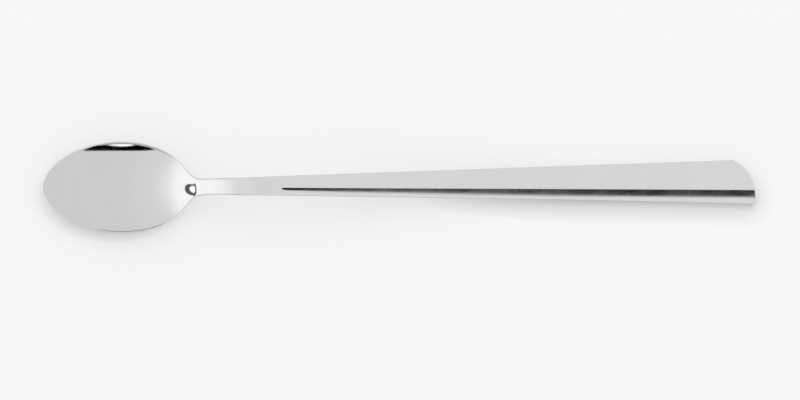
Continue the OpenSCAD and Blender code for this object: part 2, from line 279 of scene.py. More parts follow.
class SteelFinish(bpy.types.PropertyGroup):
    """Colour and polish of the steel."""

    steel: bpy.props.FloatVectorProperty(
        name="Steel",
        description="Colour that the polished steel gives a white reflection",
        default=(0.677, 0.677, 0.678),
        subtype="COLOR",
        min=0,
        max=1,
    )
    # Painted shade: a darker steel colour over the bowl, standing in for the dimmer reflection in
    # its hollow
    worn_steel: bpy.props.FloatVectorProperty(
        name="Worn steel",
        description="Colour of the steel inside the bowl, where use has dulled it a little",
        default=(0.593, 0.593, 0.593),
        subtype="COLOR",
        min=0,
        max=1,
    )
    polish: bpy.props.FloatProperty(
        name="Polished roughness",
        description="Roughness of the best polished places",
        default=0.045,
        min=0,
        max=1,
        subtype="FACTOR",
    )
    dull: bpy.props.FloatProperty(
        name="Dull roughness",
        description="Roughness where use has dulled the steel",
        default=0.11,
        min=0,
        max=1,
        subtype="FACTOR",
    )
    handle_dull: bpy.props.FloatProperty(
        name="Handle's added roughness",
        description="Roughness that handling adds along the handle",
        default=0.055,
        min=0,
        max=1,
        subtype="FACTOR",
    )
    scratch_depth: bpy.props.FloatProperty(
        name="Scratch depth",
        description="Depth of the fine polishing lines",
        default=0.0000006,
        unit="LENGTH",
        precision=7,
    )


class StudioLight(bpy.types.PropertyGroup):
    """The soft studio round the spoon."""

    floor: bpy.props.FloatVectorProperty(
        name="Floor",
        description="Colour of the pale floor",
        default=(0.93, 0.93, 0.93),
        subtype="COLOR",
        min=0,
        max=1,
    )
    key_power: bpy.props.FloatProperty(
        name="Key lamp",
        description="Power of the large soft lamp behind the spoon's straight edge",
        default=19.5,
        unit="POWER",
    )
    fill: bpy.props.FloatProperty(
        name="Fill",
        description="Level of the tent's light on the floor",
        default=0.755,
        min=0,
        max=1,
        subtype="FACTOR",
    )
    floor_lift: bpy.props.FloatProperty(
        name="Floor lift",
        description="How far the camera sees the floor as plain paper, without the spoon's shadow",
        default=0.55,
        min=0,
        max=1,
        subtype="FACTOR",
    )
    # Painted shade: the paper's colour darkens close to the spoon, on the side away from the lamp
    contact: bpy.props.FloatProperty(
        name="Contact shade",
        description="How dark the paper gets where the spoon is closest",
        default=0.6,
        min=0,
        max=1,
        subtype="FACTOR",
    )
    contact_reach: bpy.props.FloatProperty(
        name="Contact reach",
        description="How far from the spoon that shade reaches",
        default=0.0062,
        unit="LENGTH",
    )
    camera_lens: bpy.props.FloatProperty(
        name="Camera lens",
        description="Focal length of the camera in millimetres",
        default=600.0,
    )
    view_w: bpy.props.FloatProperty(
        name="View width",
        description="Width of the table that the camera sees",
        default=0.21864,
        unit="LENGTH",
    )


# How finely the bowl is cut: ribs along it, and rows of faces across each rib
FRONT_RIBS = 90
BACK_RIBS = 140
HOLLOW_ROWS = 44
LAND_ROWS = 5
RIM_ROWS = 8
UNDER_ROWS = 40
# How finely the handle is cut: ribs along it, and rows of faces across its parts
HANDLE_RIBS = 170
END_RIBS = 40
EDGE_ROWS = 8
FACE_ROWS = 14
RIDGE_ROWS = 8
BEVEL_ROWS = 5
FILLET_ROWS = 16
WALL_ROWS = 6
# How closely the rows of the hollow lie at its rim, and how evenly the ribs of the handle lie
ROW_CLOSENESS = 1.6
RIB_EVEN = 0.4
# Where the first rib of the bowl leaves its axis, as a share of the way from the belly to the tip
FAN = 0.6

# Roundness of the bowl's outline before its widest place and at its back end: 0.5 is an ellipse
FRONT_ROUND = 0.555
BACK_ROUND = 0.52
# How late the hollow changes its roundness and leans
LEAN_POWER = 4
# Pulls of the outline's curves, as shares of their lengths, and its steepness at the shoulders
BELLY_PULL = 0.485
SHOULDER_PULL = 0.19
SHOULDER_STEEP = 1.3
UPPER_EXIT = 0.28
LOWER_EXIT = 0.26
NECK_PULL = 0.5
LOWER_PULL = 0.33
# How the slope of the handle's lower edge starts, as a share of its mean slope
LOWER_BOW = 0.7

# Softness of the hollow's edge round the bowl and at the neck, as shares of its depth
RIM_SOFT = 0.01
NECK_SOFT = 0.06
# Where the hollow's edge softens, as shares of the hollow's length behind the belly
FADE_START = 0.72
FADE_END = 1.1
# Where the rim's lip rises and ends, as such shares, and its width as a share of the hollow's depth
LIP_START = -0.55
LIP_FULL = 0
LIP_FADE = 0.84
LIP_END = 0.94
LIP_WIDTH = 0.02
# Part of the hollow, as a share of its depth, in which the belly can touch the table
BELLY_SHARE = 0.5

# Where the neck starts to rise and is steepest, as shares of the way from the belly to the crest
RISE_START = 0.3
RISE_STEEP = 0.6
# How evenly the neck rounds over from there to its crest
CREST_ROUND = 1.3
# Edge height of the neck at its crest, as a share of its thickness
NECK_EDGE = 0.45
# Share of the neck's length in which its edges get rounder, at either end
NECK_EASE = 0.4
# Fullness of the underside's blend between bowl and neck
BLEND_POWER = 3
# How fast the handle falls from the crest to the table
FALL_POWER = 3
# Share of the handle's length in which its underside turns flat
FLAT_UNDER = 0.2
# Length of the handle's end that rises off the table, as a share of the round cut's radius
END_TURN = 1.3

# Round of the ridge, as a share of the flank's width
RIDGE_ROUND = 0.2
# Width of the bevel where it starts and where it ends, as shares of the flank's width at its end
BEVEL_START = 0.11
BEVEL_END = 0.467
# How fast the bevel widens
BEVEL_POWER = 3
# Easing of the bevel's slope from the ridge to its far side
BEVEL_EASE = 0.1
# Length over which the ridge grows out of the neck, as a share of the handle
RIDGE_GROWTH = 0.045

# Halvings in the search for a place on a curve
CURVE_TURNS = 40
# Distance under which two corners are one
MERGE = 0.0000005
# Angle over which an edge stays sharp
SMOOTH_ANGLE = math.radians(40)
# Side of the plain sheet that each piece starts as
SHEET = 2.0


def clamp01(t):
    return min(1.0, max(0.0, t))


def ease(t):
    """0 up to 0, 1 from 1 on, and smooth between them."""
    c = clamp01(t)
    return c * c * c * (10 - 15 * c + 6 * c * c)


def eased(x, low, high):
    """Smooth share of the way from one place to another."""
    return ease((x - low) / (high - low))


def mix(a, b, t):
    return a + (b - a) * t


def quarter(step, steps):
    """Angle of a step through a quarter turn."""
    return math.pi / 2 * step / steps


def curve(p, t):
    """A cubic curve through four control numbers."""
    s = 1 - t
    return s * s * s * p[0] + 3 * s * s * t * p[1] + 3 * s * t * t * p[2] + t * t * t * p[3]


def curve_y(points, x):
    """Height of a cubic curve at a station."""
    low, high = 0.0, 1.0
    along = [p[0] for p in points]
    for _ in range(CURVE_TURNS):
        middle = (low + high) / 2
        if curve(along, middle) < x:
            low = middle
        else:
            high = middle
    return curve([p[1] for p in points], (low + high) / 2)


class SpoonForm:
    """The spoon's surface: every point comes from a station and a distance across."""

    def __init__(self, sizes):
        for key in SpoonSizes.__annotations__:
            setattr(self, key, getattr(sizes, key))
        self.bowl_half = self.bowl_w / 2
        self.end_r = ((self.end_upper_w + self.end_drop) ** 2 + self.cut_l**2) / (2 * self.cut_l)
        self.end_centre = self.spoon_l - self.end_r
        self.corner_station = self.spoon_l - self.cut_l
        self.handle_l = self.spoon_l - self.crest_station
        self.upper_slope = (self.end_upper_w - self.neck_upper_w) / (
            self.corner_station - self.neck_upper_station
        )
        self.lower_slope = (self.end_lower_w - self.neck_lower_w) / (
            self.spoon_l - self.neck_lower_station
        )
        self.rise_station = mix(self.belly_station, self.crest_station, RISE_START)
        self.steep_station = mix(self.belly_station, self.crest_station, RISE_STEEP)
        self.rim_slope = self.rim_rise / self.belly_station
        self.fade_start = self.belly_station + FADE_START * self.hollow_back_l
        self.fade_end = self.belly_station + FADE_END * self.hollow_back_l
        self.flat_under_station = self.crest_station + FLAT_UNDER * self.handle_l
        self.full_ridge_station = self.ridge_station + RIDGE_GROWTH * self.handle_l
        self.crest_under_h = self.crest_h - self.handle_t
        self.fall_l = self.pad_station - self.crest_station
        self.end_turn_l = END_TURN * self.end_r
        self.end_start = self.spoon_l - self.end_turn_l
        self.rise_l = self.steep_station - self.rise_station
        self.round_l = self.crest_station - self.steep_station
        self.rise_slope = (
            self.crest_h - self.rim_h(self.rise_station) - self.rim_slope * self.rise_l / 2
        ) / (self.rise_l / 2 + self.round_l * CREST_ROUND / (CREST_ROUND + 1))
        self.upper_shoulder = self.shoulder_curve(
            self.neck_upper_station, self.neck_upper_w, UPPER_EXIT, self.upper_slope
        )
        self.lower_shoulder = self.shoulder_curve(
            self.neck_lower_station, self.neck_lower_w, LOWER_EXIT, self.lower_slope * LOWER_BOW
        )
        pull = LOWER_PULL * (self.spoon_l - self.neck_lower_station)
        self.lower_edge = (
            (self.neck_lower_station, self.neck_lower_w),
            (
                self.neck_lower_station + pull,
                self.neck_lower_w + pull * self.lower_slope * LOWER_BOW,
            ),
            (self.spoon_l - pull, self.end_lower_w - pull * self.lower_slope / LOWER_BOW),
            (self.spoon_l, self.end_lower_w),
        )
        self.outside_depth = min(self.belly_depths())
        self.hollow_depth = self.outside_depth + self.rim_edge_h - self.bowl_wall
        self.end_flank = self.ridge_y(self.spoon_l) + self.end_lower_w
        self.flank_steep = (self.handle_t - self.lower_edge_t) / (
            self.end_flank * self.flank_fall(1, BEVEL_END)
        )

    def shoulder_curve(self, neck_station, neck_w, exit_share, neck_slope):
        """The outline on one side, from the belly to the shoulder and from there to the neck."""
        back = self.shoulder_station - self.belly_station
        front = neck_station - self.shoulder_station
        pull = SHOULDER_PULL * back
        leave = exit_share * front
        return (
            (
                (self.belly_station, self.bowl_half),
                (self.belly_station + BELLY_PULL * back, self.bowl_half),
                (self.shoulder_station - pull, self.shoulder_half_w + SHOULDER_STEEP * pull),
                (self.shoulder_station, self.shoulder_half_w),
            ),
            (
                (self.shoulder_station, self.shoulder_half_w),
                (self.shoulder_station + leave, self.shoulder_half_w - SHOULDER_STEEP * leave),
                (neck_station - NECK_PULL * front, neck_w - neck_slope * NECK_PULL * front),
                (neck_station, neck_w),
            ),
        )

    def upper_w(self, x):
        """Reach of the outline above the axis."""
        if x < self.shoulder_station:
            return curve_y(self.upper_shoulder[0], x)
        if x < self.neck_upper_station:
            return curve_y(self.upper_shoulder[1], x)
        return self.neck_upper_w + self.upper_slope * (x - self.neck_upper_station)

    def lower_w(self, x):
        """Reach of the outline below the axis."""
        if x < self.shoulder_station:
            return curve_y(self.lower_shoulder[0], x)
        if x < self.neck_lower_station:
            return curve_y(self.lower_shoulder[1], x)
        return curve_y(self.lower_edge, x)

    def fall(self, x):
        """Height of the handle's underside, from the crest down to the table."""
        t = clamp01((x - self.crest_station) / self.fall_l)
        return self.crest_under_h * (1 - t) ** FALL_POWER * (1 + FALL_POWER * t)

    def turn_up(self, x):
        """Rise of the handle's end off the table."""
        return self.end_rise * (max(0.0, x - self.end_start) / self.end_turn_l) ** 2

    def rim_h(self, x):
        """Height of the bowl's rim."""
        return self.tip_h + self.rim_slope * x

    def top_line(self, x):
        """Height of the rim, of the neck's rise and of the handle's fall."""
        if x < self.rise_station:
            return self.rim_h(x)
        if x < self.steep_station:
            s = (x - self.rise_station) / self.rise_l
            bend = (self.rise_slope - self.rim_slope) * self.rise_l * s * s * s * (1 - s / 2)
            return self.rim_h(x) + bend
        if x < self.crest_station:
            s = (self.crest_station - x) / self.round_l
            left = (1 - s) ** (CREST_ROUND + 1)
            return self.crest_h - self.rise_slope * self.round_l * (
                s - (1 - left) / (CREST_ROUND + 1)
            )
        return self.fall(x) + self.turn_up(x) + self.handle_t

    def egg(self, x, y, front_l, back_l, half_w):
        """How far a point lies inside an egg: 1 at the bowl's middle, 0 on the egg's edge."""
        front = x < self.belly_station
        v = (x - self.belly_station) / (front_l if front else back_l)
        point = 0.0 if front else min(1.0, v) ** LEAN_POWER
        inside = 1 - v * v
        across = (y + self.hollow_lean * point) / half_w
        roundness = mix(FRONT_ROUND, BACK_ROUND, point)
        return inside - across * across * max(inside, RIM_SOFT) ** (1 - 2 * roundness)

    def soft(self, x):
        """Softness of the hollow's edge."""
        return mix(RIM_SOFT, NECK_SOFT, eased(x, self.fade_start, self.fade_end))

    def belly_depths(self):
        """Depth of the outside at which each place of the belly would just touch the table."""
        stations = [self.fan_x(k) for k in range(FRONT_RIBS + 1)]
        stations += [self.back_x(k) for k in range(1, BACK_RIBS + 1)]
        for x in stations:
            inside = self.outside_egg(x, 0)
            if inside > BELLY_SHARE:
                yield (self.rim_h(x) - self.rim_edge_h) / inside

    def outside_egg(self, x, y):
        """How far a point lies inside the bowl's outer form."""
        back_l = self.hollow_back_l + self.rim_land
        return self.egg(x, y, self.belly_station, back_l, self.bowl_half)

    def hollow(self, x, y):
        """Depth of the hollow below the rim, with the lip at its edge."""
        front_l = self.belly_station - self.rim_land
        inside = self.egg(x, y, front_l, self.hollow_back_l, self.bowl_half - self.rim_land)
        edge = self.soft(x)
        deep = (inside + math.sqrt(inside * inside + edge * edge)) / 2
        lip = self.rim_lip * self.lip_share(x) * math.exp(-deep / LIP_WIDTH)
        return self.hollow_depth * deep - lip

    def lip_share(self, x):
        """How much lip the rim has: none at the tip, all behind the belly, none at the neck."""
        back = (x - self.belly_station) / self.hollow_back_l
        return eased(back, LIP_START, LIP_FULL) * (1 - eased(back, LIP_FADE, LIP_END))

    def ridge_y(self, x):
        """Place of the ridge line across the handle."""
        t = (x - self.ridge_station) / (self.spoon_l - self.ridge_station)
        return mix(self.ridge_start_y, -self.ridge_end_y, t)

    def bevel(self, x, width):
        """Share of the flank that its bevel takes: the bevel widens fast behind the crest."""
        left = 1 - clamp01((x - self.ridge_station) / (self.spoon_l - self.ridge_station))
        return self.end_flank * mix(BEVEL_END, BEVEL_START, left**BEVEL_POWER) / width

    def flank_fall(self, d, bevel):
        """Fall of a flank as wide and steep as one: a rounded ridge, a bevel and a fillet."""
        rest = 1 - RIDGE_ROUND - bevel
        if d <= 0:
            return 0.0
        if d < RIDGE_ROUND:
            s = d / RIDGE_ROUND
            return RIDGE_ROUND * s * s * (1 - s / 3)
        q = d - RIDGE_ROUND
        fall = RIDGE_ROUND * 2 / 3
        if q < bevel:
            return fall + q * (1 - BEVEL_EASE * (q / bevel) ** 2 / 3)
        fall += bevel * (1 - BEVEL_EASE / 3)
        q -= bevel
        return fall + (1 - BEVEL_EASE) * (q - q * q / (2 * rest))

    def step(self, x, y, width):
        """How far the flank has fallen below the handle's face."""
        growth = eased(x, self.ridge_station, self.full_ridge_station)
        if growth == 0:
            return 0.0
        d = (self.ridge_y(x) - y) / width
        return growth * self.flank_steep * width * self.flank_fall(d, self.bevel(x, width))

    def top_z(self, x, y, low):
        """Height of the spoon's upper side."""
        height = self.top_line(x)
        if x < self.crest_station:
            height -= self.hollow(x, y)
        return height - self.step(x, y, self.ridge_y(x) + low)

    def edge_h(self, x):
        """Height of the side edge."""
        neck_h = NECK_EDGE * self.handle_t
        if x < self.crest_station:
            return mix(self.rim_edge_h, neck_h, eased(x, self.rise_station, self.crest_station))
        return mix(neck_h, self.handle_t, eased(x, self.crest_station, self.flat_under_station))

    def under_z(self, x, y, up, low):
        """Height of the spoon's underside."""
        inside = max(0.0, self.outside_egg(x, y)) if x < self.crest_station else 0.0
        across = (2 * y - up + low) / (up + low) if up + low > 0 else 0.0
        neck = eased(x, self.rise_station, self.crest_station)
        full = neck * (self.handle_t - self.edge_h(x)) * max(0.0, 1 - across * across)
        deep = (self.outside_depth * inside) ** BLEND_POWER + full**BLEND_POWER
        return self.top_line(x) - self.edge_h(x) - deep ** (1 / BLEND_POWER)

    def edge_r(self, x):
        """Radius of the top edge: it is rounder along the neck."""
        t = (x - self.fade_start) / (self.crest_station - self.fade_start)
        neck = ease(t / NECK_EASE) * ease((1 - t) / NECK_EASE)
        return mix(self.rim_edge_r, self.handle_edge_r, ease(t)) + self.neck_round * neck

    def fan_x(self, k):
        """Station at which a rib of the bowl's front leaves the axis."""
        return self.belly_station * mix(1 - FAN, 1, k / FRONT_RIBS)

    def back_x(self, k):
        """Station of a rib behind the belly."""
        return mix(self.belly_station, self.crest_station, k / BACK_RIBS)

    def hollow_reach(self, x, side):
        """Distance from the axis to the hollow's edge on one side."""
        v = clamp01((x - self.belly_station) / self.hollow_back_l)
        point = v**LEAN_POWER
        half = self.bowl_half - self.rim_land
        half *= (1 - v * v) ** mix(FRONT_ROUND, BACK_ROUND, point)
        return max(0.0, half - side * self.hollow_lean * point)

    def rib_line(self, i):
        """Axis point, inner line and outline of a rib, with the outline's reach there."""
        k, side = abs(i), (-1 if i < 0 else 1)
        if k <= FRONT_RIBS:
            a = quarter(k, FRONT_RIBS)
            land_front = self.belly_station - self.rim_land
            half = math.sin(a) ** (2 * FRONT_ROUND)
            inner = (
                self.belly_station - land_front * math.cos(a),
                side * (self.bowl_half - self.rim_land) * half,
            )
            rim = (self.belly_station * (1 - math.cos(a)), side * self.bowl_half * half)
            return (self.fan_x(k), 0.0), inner, rim, abs(rim[1]), abs(rim[1])
        x = self.back_x(k - FRONT_RIBS)
        up, low = self.upper_w(x), self.lower_w(x)
        w = up if side > 0 else low
        limit = w - self.rim_land - self.edge_r(x)
        t = eased(x, self.fade_start, self.fade_end)
        inner_w = mix(min(self.hollow_reach(x, side), limit), limit, t)
        return (x, 0.0), (x, side * inner_w), (x, side * w), up, low

    def rib_points(self, i):
        """Points of a rib: from the axis over the rim, and back below to the axis."""
        axis, inner, rim, up, low = self.rib_line(i)
        radius = self.edge_r(rim[0])
        reach = math.hypot(rim[0] - axis[0], rim[1] - axis[1])

        def inset(d):
            t = min(1.0, d / reach)
            return mix(rim[0], axis[0], t), mix(rim[1], axis[1], t)

        points = []
        for j in range(HOLLOW_ROWS + 1):
            t = 1 - (1 - j / HOLLOW_ROWS) ** ROW_CLOSENESS
            x, y = mix(axis[0], inner[0], t), mix(axis[1], inner[1], t)
            points.append((x, y, self.top_z(x, y, low)))
        start = inset(radius)
        for j in range(1, LAND_ROWS):
            t = j / LAND_ROWS
            x, y = mix(inner[0], start[0], t), mix(inner[1], start[1], t)
            points.append((x, y, self.top_z(x, y, low)))
        edge_top = self.top_z(start[0], start[1], low)
        for j in range(RIM_ROWS + 1):
            a = quarter(j, RIM_ROWS)
            x, y = inset(radius * (1 - math.sin(a)))
            points.append((x, y, edge_top - radius * (1 - math.cos(a))))
        below = self.under_z(start[0], start[1], up, low)
        for j in range(RIM_ROWS + 1):
            a = quarter(j, RIM_ROWS)
            x, y = inset(radius * (1 - math.cos(a)))
            points.append((x, y, below + radius * (1 - math.sin(a))))
        for j in range(1, UNDER_ROWS + 1):
            t = 1 - math.cos(quarter(j, UNDER_ROWS))
            x, y = mix(start[0], axis[0], t), mix(start[1], axis[1], t)
            points.append((x, y, self.under_z(x, y, up, low)))
        return points

    def handle_rows(self, x):
        """Distances across the handle, from its upper edge to its lower one."""
        up, low, r = self.upper_w(x), self.lower_w(x), self.handle_edge_r
        ridge = self.ridge_y(x)
        flank = ridge + low
        bevel = self.bevel(x, flank)
        arc = [r * (1 - math.cos(quarter(j, EDGE_ROWS))) for j in range(EDGE_ROWS + 1)]
        rows = [up - d for d in arc]
        rows += [mix(up - r, ridge, j / FACE_ROWS) for j in range(1, FACE_ROWS + 1)]
        rows += [ridge - flank * RIDGE_ROUND * j / RIDGE_ROWS for j in range(1, RIDGE_ROWS + 1)]
        start = ridge - flank * RIDGE_ROUND
        rows += [start - flank * bevel * j / BEVEL_ROWS for j in range(1, BEVEL_ROWS + 1)]
        start -= flank * bevel
        rows += [mix(start, r - low, j / FILLET_ROWS) for j in range(1, FILLET_ROWS + 1)]
        rows += [d - low for d in reversed(arc[:-1])]
        return rows, up, low

    def cut_station(self, y):
        """Station of the handle's round-cut end."""
        return self.end_centre + math.sqrt(max(0.0, self.end_r**2 - (y + self.end_drop) ** 2))

    def handle_loop(self, station, cut_inset, t):
        """Points over the top of the handle from its upper edge, and those below them.

        Between the straight ribs, where t is 0, and the round cut, where it is 1, the ribs bend.
        """
        r = self.handle_edge_r
        straight = self.handle_rows(station)
        top, below = [], []
        for j, across in enumerate(straight[0]):
            x, (rows, up, low) = station, straight
            if t > 0:
                x = mix(self.end_start, self.cut_station(across) - cut_inset, t)
                rows, up, low = self.handle_rows(x)
            y = rows[j]
            d = min(r, cut_inset, up - y, y + low)
            drop = r - math.sqrt(max(0.0, r * r - (r - d) ** 2))
            top.append((x, y, self.top_z(x, y, low) - drop))
            below.append((x, y, self.under_z(x, y, up, low) + drop))
        return top, below

    def handle_loops(self):
        """The handle's loops, from the crest to the round cut and over its edge."""
        for k in range(HANDLE_RIBS + END_RIBS + EDGE_ROWS + 1):
            over = max(0, k - HANDLE_RIBS - END_RIBS)
            cut_inset = self.handle_edge_r * (1 - math.sin(quarter(over, EDGE_ROWS)))
            t = clamp01((k - HANDLE_RIBS) / END_RIBS)
            if k <= HANDLE_RIBS:
                s = k / HANDLE_RIBS
                even = mix(s * s, s, clamp01(s + RIB_EVEN))
                station = mix(self.crest_station, self.end_start, even)
            else:
                station = mix(self.end_start, self.corner_station, t)
            yield self.handle_loop(station, cut_inset, t)


def wall_loop(top, below, share):
    """A loop round the handle whose top and underside have closed up by a share."""
    high = [(x, y, mix(z, (z + w) / 2, share)) for (x, y, z), (_, _, w) in zip(top, below)]
    low = [(x, y, mix(w, (z + w) / 2, share)) for (x, y, z), (_, _, w) in zip(top, below)]
    return high + low[::-1] + high[:1]


def in_frame(points, sizes):
    """Moves points from stations to the spoon's own frame, whose middle is at the origin."""
    return [(x - sizes.spoon_l / 2, y, z) for x, y, z in points]


def deselect_all():
    if bpy.context.object and bpy.context.object.mode != "OBJECT":
        bpy.ops.object.mode_set(mode="OBJECT")
    bpy.ops.object.select_all(action="DESELECT")


def shaped_sheet(name, grid):
    """Adds a plain sheet and lays its corners at a grid of points."""
    deselect_all()
    columns, rows = len(grid), len(grid[0])
    bpy.ops.mesh.primitive_grid_add(x_subdivisions=columns - 1, y_subdivisions=rows - 1, size=SHEET)
    piece = bpy.context.object
    piece.name = name
    piece.data.name = name
    for vertex in piece.data.vertices:
        i = round((vertex.co.x / SHEET + 0.5) * (columns - 1))
        j = round((vertex.co.y / SHEET + 0.5) * (rows - 1))
        vertex.co = grid[i][j]
    return piece


def close_and_smooth(piece):
    """Merges the sheet's seams, fills its open end and shades it smooth."""
    bpy.ops.object.mode_set(mode="EDIT")
    bpy.ops.mesh.select_all(action="SELECT")
    bpy.ops.mesh.remove_doubles(threshold=MERGE)
    bpy.ops.mesh.select_all(action="DESELECT")
    bpy.ops.mesh.select_mode(type="EDGE")
    bpy.ops.mesh.select_non_manifold(
        extend=False,
        use_wire=False,
        use_multi_face=False,
        use_non_contiguous=False,
        use_verts=False,
    )
    bpy.ops.mesh.edge_face_add()
    bpy.ops.mesh.select_mode(type="FACE")
    bpy.ops.mesh.select_all(action="SELECT")
    bpy.ops.mesh.normals_make_consistent(inside=False)
    bpy.ops.object.mode_set(mode="OBJECT")
    bpy.ops.object.shade_smooth_by_angle(angle=SMOOTH_ANGLE)
    if open_edges(piece):
        raise RuntimeError(f"{piece.name} has open edges: {open_edges(piece)}")


def open_edges(piece):
    """Edges that don't have exactly two faces."""
    uses = {}
    for face in piece.data.polygons:
        for key in face.edge_keys:
            uses[key] = uses.get(key, 0) + 1
    return [key for key, count in uses.items() if count != 2]


class NodeTree:
    """The nodes of a material or of the world, with short ways to add and join them."""

    def __init__(self, owner):
        owner.use_nodes = True
        self.nodes, self.links = owner.node_tree.nodes, owner.node_tree.links
        self.nodes.clear()

    def add(self, kind, sockets, **settings):
        """Adds a node, and gives each socket a value or a link from another node's socket."""
        node = self.nodes.new(f"ShaderNode{kind}")
        for key, value in settings.items():
            setattr(node, key, value)
        for key, value in sockets.items():
            if isinstance(value, bpy.types.NodeSocket):
                self.links.new(value, node.inputs[key])
            else:
                node.inputs[key].default_value = value
        return node

    def math(self, operation, *values, clamp=False):
        """The result of a sum."""
        node = self.add("Math", dict(enumerate(values)), operation=operation, use_clamp=clamp)
        return node.outputs["Value"]

    def blend(self, a, b, share):
        """A value that is a where the share is 0, and b where it is 1."""
        return self.math("ADD", self.math("MULTIPLY", self.math("SUBTRACT", b, a), share), a)

    def soft_step(self, value, start, end, amount=1.0):
        """0 up to a start, an amount from an end on, and smooth between them."""
        node = self.add(
            "MapRange",
            {"Value": value, "From Min": start, "From Max": end, "To Max": amount},
            interpolation_type="SMOOTHSTEP",
        )
        return node.outputs["Result"]

    def seen(self):
        """1 for what the camera sees, by itself, in a reflection or through something clear."""
        path = self.add("LightPath", {}).outputs
        mirrored = self.math("ADD", path["Is Camera Ray"], path["Is Glossy Ray"])
        return self.math("ADD", mirrored, path["Is Transmission Ray"], clamp=True)


# Where along the spoon, from its middle, the painted shade over the bowl fades out, and how strong
# it is
BOWL_SHADE_START = -0.068
BOWL_SHADE_END = -0.025
BOWL_SHADE_MOST = 0.8
# Size of the spots, their detail, and how much they add to the painted shade
SPOTS_SCALE = 75.0
SPOTS_DETAIL = 4.0
SPOTS_ROUGHNESS = 0.6
SPOTS_SHARE = 0.3
# Levels of the spots between which the polish changes to dull
SPOTS_POLISHED = 0.35
SPOTS_DULL = 0.75
# Where along the spoon, from its middle, handling starts to dull the handle, and has dulled it
HANDLED_START = -0.048
HANDLED_END = -0.01
# Polishing lines in a metre along, across and up, their detail and their relief
LINES_SCALE = (90.0, 9000.0, 2500.0)
LINES_DETAIL = 3.0
LINES_RELIEF = 0.35
# Hairline scratches in a metre, their turn, their width and the roughness that they add
HAIRLINES_SCALE = (260.0, 700.0, 700.0)
HAIRLINES_TURN = (0.0, 0.0, math.radians(24))
HAIRLINES_W = 0.02
HAIRLINES_ROUGHNESS = 0.035
WHITE = (1, 1, 1, 1)
BLACK = (0, 0, 0, 1)


def steel_material(finish):
    """Polished steel with fine polishing lines, random spots, and painted shade darkening the bowl.
    """
    name = "polished_steel_finish"
    if name in bpy.data.materials:
        return bpy.data.materials[name]
    material = bpy.data.materials.new(name)
    tree = NodeTree(material)
    place = tree.add("TexCoord", {}).outputs["Object"]
    along = tree.add("SeparateXYZ", {"Vector": place}).outputs["X"]

    spots = tree.add(
        "TexNoise",
        {
            "Vector": place,
            "Scale": SPOTS_SCALE,
            "Detail": SPOTS_DETAIL,
            "Roughness": SPOTS_ROUGHNESS,
        },
    ).outputs["Fac"]
    # Painted shade: the steel darkens over the bowl, for the dimmer reflection in its hollow
    bowl_shade = tree.soft_step(along, BOWL_SHADE_END, BOWL_SHADE_START, BOWL_SHADE_MOST)
    colour = tree.add(
        "Mix",
        {
            "Factor": tree.math("MULTIPLY_ADD", spots, SPOTS_SHARE, bowl_shade),
            "A": (*finish.steel, 1),
            "B": (*finish.worn_steel, 1),
        },
        data_type="RGBA",
    )

    hairlines_place = tree.add(
        "Mapping", {"Vector": place, "Scale": HAIRLINES_SCALE, "Rotation": HAIRLINES_TURN}
    )
    cells = tree.add(
        "TexVoronoi",
        {"Vector": hairlines_place.outputs["Vector"], "Scale": 1.0},
        feature="DISTANCE_TO_EDGE",
    )
    hairlines = tree.add("ValToRGB", {"Fac": cells.outputs["Distance"]})
    on_line, off_line = hairlines.color_ramp.elements
    on_line.color = WHITE
    off_line.position = HAIRLINES_W
    off_line.color = BLACK

    rough = tree.add(
        "MapRange",
        {
            "Value": spots,
            "From Min": SPOTS_POLISHED,
            "From Max": SPOTS_DULL,
            "To Min": finish.polish,
            "To Max": finish.dull,
        },
    ).outputs["Result"]
    handled = tree.soft_step(along, HANDLED_START, HANDLED_END, finish.handle_dull)
    rough = tree.math("ADD", rough, handled)
    rough = tree.math("MULTIPLY_ADD", hairlines.outputs["Color"], HAIRLINES_ROUGHNESS, rough)

    lines_place = tree.add("Mapping", {"Vector": place, "Scale": LINES_SCALE})
    lines = tree.add(
        "TexNoise",
        {"Vector": lines_place.outputs["Vector"], "Scale": 1.0, "Detail": LINES_DETAIL},
    )
    relief = tree.add(
        "Bump",
        {
            "Height": lines.outputs["Fac"],
            "Strength": LINES_RELIEF,
            "Distance": finish.scratch_depth,
        },
    )
    steel = tree.add(
        "BsdfPrincipled",
        {
            "Base Color": colour.outputs["Result"],
            "Metallic": 1.0,
            "Roughness": rough,
            "Normal": relief.outputs["Normal"],
        },
    )
    tree.add("OutputMaterial", {"Surface": steel.outputs["BSDF"]})
    return material


def finish_piece(piece, node, scene):
    """Gives a piece its steel and its body, and hides the solid that it stands for."""
    piece.data.materials.clear()
    piece.data.materials.append(steel_material(scene.spoon_steel))
    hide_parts(node)
    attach(piece, "root")


class SPOON_OT_bowl(bpy.types.Operator):
    """Model the egg-shaped bowl with its rim and the rise of the neck"""

    bl_idname = "spoon.bowl"
    bl_label = "Bowl"

    def execute(self, context):
        sizes = context.scene.spoon_sizes
        form = SpoonForm(sizes)
        half = FRONT_RIBS + BACK_RIBS
        grid = [in_frame(form.rib_points(i), sizes) for i in range(-half, half + 1)]
        piece = shaped_sheet("spoon_bowl", grid)
        close_and_smooth(piece)
        finish_piece(piece, "bowl", context.scene)
        return {"FINISHED"}


class SPOON_OT_handle(bpy.types.Operator):
    """Model the ridged handle with its hollow-ground flank and round-cut end"""

    bl_idname = "spoon.handle"
    bl_label = "Handle"

    def execute(self, context):
        sizes = context.scene.spoon_sizes
        loops = [(top, below, 0) for top, below in SpoonForm(sizes).handle_loops()]
        top, below, _ = loops[-1]
        loops += [(top, below, k / WALL_ROWS) for k in range(1, WALL_ROWS + 1)]
        grid = [in_frame(wall_loop(*loop), sizes) for loop in loops]
        piece = shaped_sheet("spoon_handle", grid)
        close_and_smooth(piece)
        finish_piece(piece, "handle", context.scene)
        return {"FINISHED"}


